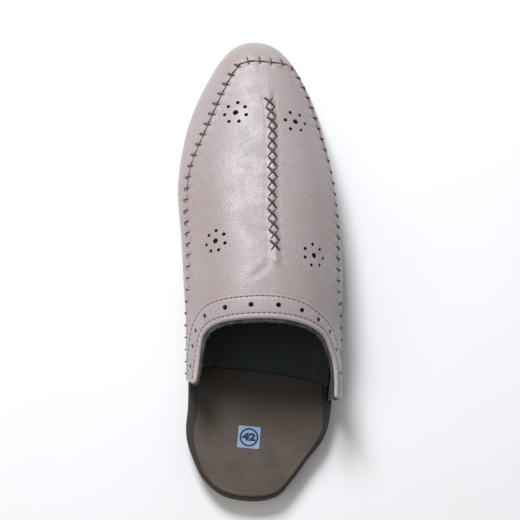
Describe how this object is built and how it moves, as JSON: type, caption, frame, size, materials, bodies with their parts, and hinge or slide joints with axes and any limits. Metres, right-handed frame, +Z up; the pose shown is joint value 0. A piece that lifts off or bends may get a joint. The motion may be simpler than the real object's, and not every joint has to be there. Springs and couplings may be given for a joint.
{
  "type": "babouche slipper",
  "caption": "Backless babouche slipper for the right foot: hollow leather upper with a stitched collar band, insole and a low wedge sole.",
  "frame": {"origin": "on the ground under the middle of the slipper's box", "axes": "+Y to the toe, +X to the outer side of the foot, +Z up from the ground"},
  "size_m": [0.1022, 0.29, 0.063],
  "materials": {
    "upper_leather": "satin pinkish beige leather",
    "band_leather": "satin pinkish beige leather",
    "sock_leather": "matt brown leather",
    "lining_leather": "matt grey suede lining",
    "sole_rubber": "matt dark brown rubber",
    "thread": "waxed dark brown thread",
    "label_paper": "pale paper",
    "label_ink": "dark printing ink"
  },
  "bodies": {
    "root": {"outsole": "sole_rubber", "insole": "sock_leather", "upper": "upper_leather", "collar_band": "band_leather"}
  },
  "joints": []
}
